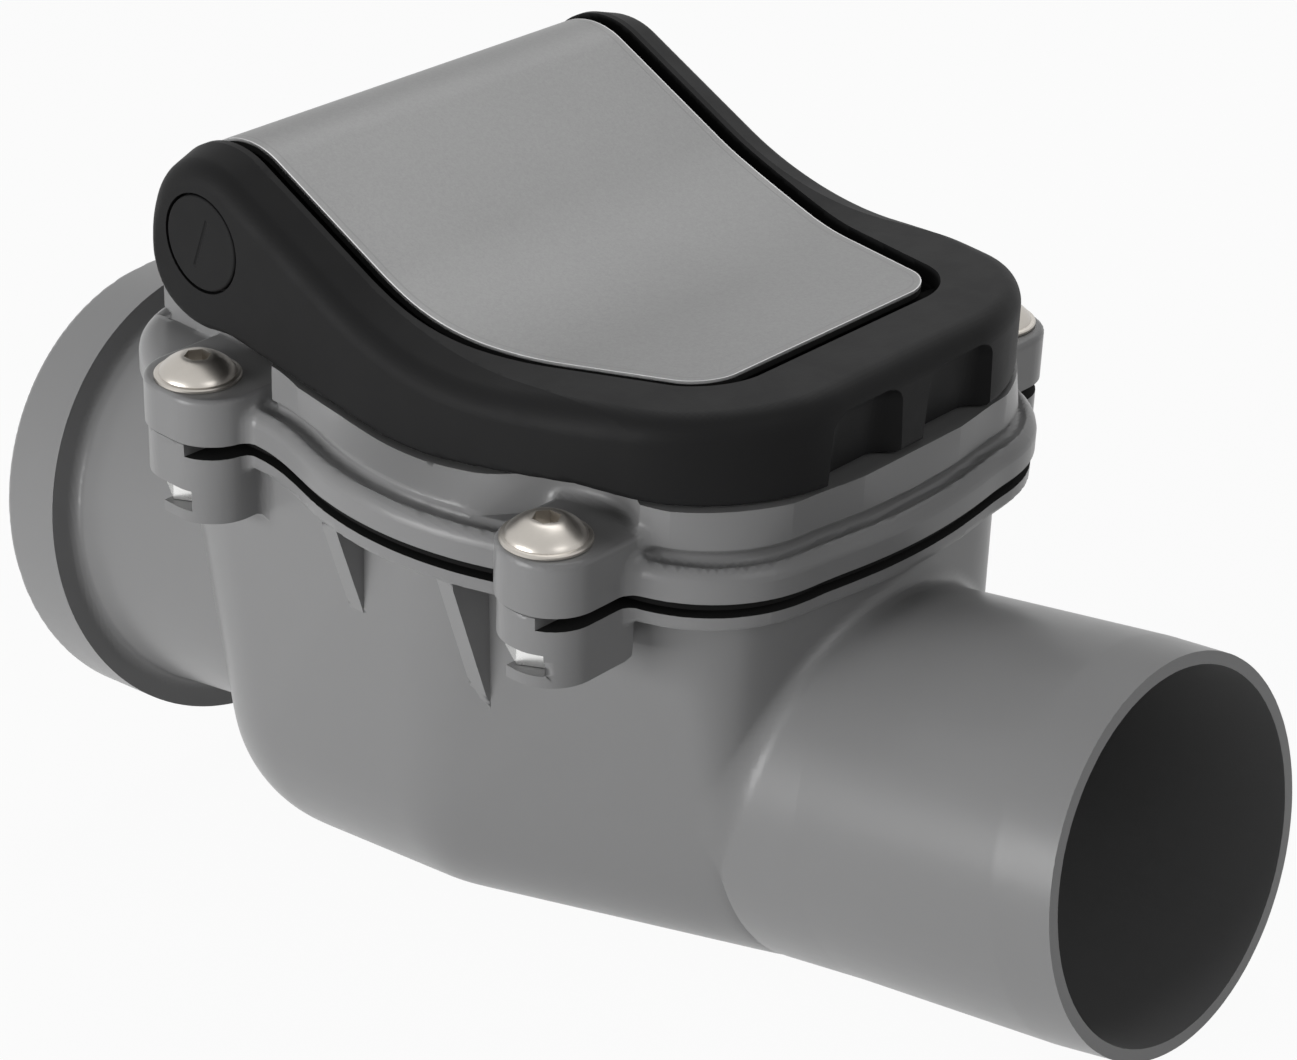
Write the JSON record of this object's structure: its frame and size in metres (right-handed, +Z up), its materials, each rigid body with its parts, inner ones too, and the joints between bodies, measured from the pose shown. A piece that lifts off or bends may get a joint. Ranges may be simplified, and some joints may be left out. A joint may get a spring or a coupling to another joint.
{
  "type": "backwater valve",
  "caption": "Drain pipe backwater valve: socket inlet, chamber with a hinged check flap, bolted cover and a hooded hand lever that locks the flap, plain outlet spigot.",
  "frame": {"origin": "centre of the inlet socket's mouth, on the inlet axis", "axes": "+X along the flow from the socket to the spigot, +Z up, +Y across; the outlet axis lies below the inlet axis"},
  "size_m": [0.1752, 0.0958, 0.1088],
  "materials": {
    "body_plastic": "satin moulded",
    "cover_plastic": "satin moulded",
    "flap_plastic": "satin moulded",
    "lever_plastic": "satin moulded",
    "cap_plastic": "satin moulded",
    "plate_metal": "fine grained satin",
    "gasket_rubber": "matte",
    "seal_rubber": "matte",
    "flap_rubber": "matte",
    "bolt_steel": "satin stainless",
    "nut_steel": "bright stainless",
    "screw_steel": "satin stainless",
    "cam_steel": "satin stainless",
    "pin_steel": "ground stainless",
    "retainer_steel": "satin stainless",
    "axle_brass": "turned",
    "bush_brass": "turned"
  },
  "bodies": {
    "housing": {"valve_body": "body_plastic", "inlet_lip_seal": "seal_rubber", "cover": "cover_plastic", "cover_gasket": "gasket_rubber", "cover_bolts": "bolt_steel", "cover_nuts": "nut_steel", "axle_bush_left": "bush_brass", "axle_bush_right": "bush_brass", "axle_o_ring_left": "seal_rubber", "axle_o_ring_right": "seal_rubber", "hinge_pin": "pin_steel", "hinge_clips": "pin_steel"},
    "lever": {"lever": "lever_plastic", "lever_plate": "plate_metal", "pivot_cap_left": "cap_plastic", "pivot_cap_right": "cap_plastic", "lever_axle": "axle_brass", "axle_washers": "screw_steel", "axle_screws": "screw_steel", "locking_cam": "cam_steel", "cam_pin": "cam_steel"},
    "flap": {"flap": "flap_plastic", "flap_seal": "flap_rubber", "seal_retainer": "retainer_steel", "retainer_screws": "screw_steel"}
  },
  "joints": [
    {"name": "lever_turn", "type": "hinge", "parent": "housing", "child": "lever", "pos_m": [0.0627, 0, 0.05461], "axis": [0, -1, 0], "range_deg": [0, 90]},
    {"name": "flap_swing", "type": "hinge", "parent": "housing", "child": "flap", "pos_m": [0.07311, 0, 0.04232], "axis": [0, -1, 0], "range_deg": [0, 58]}
  ]
}
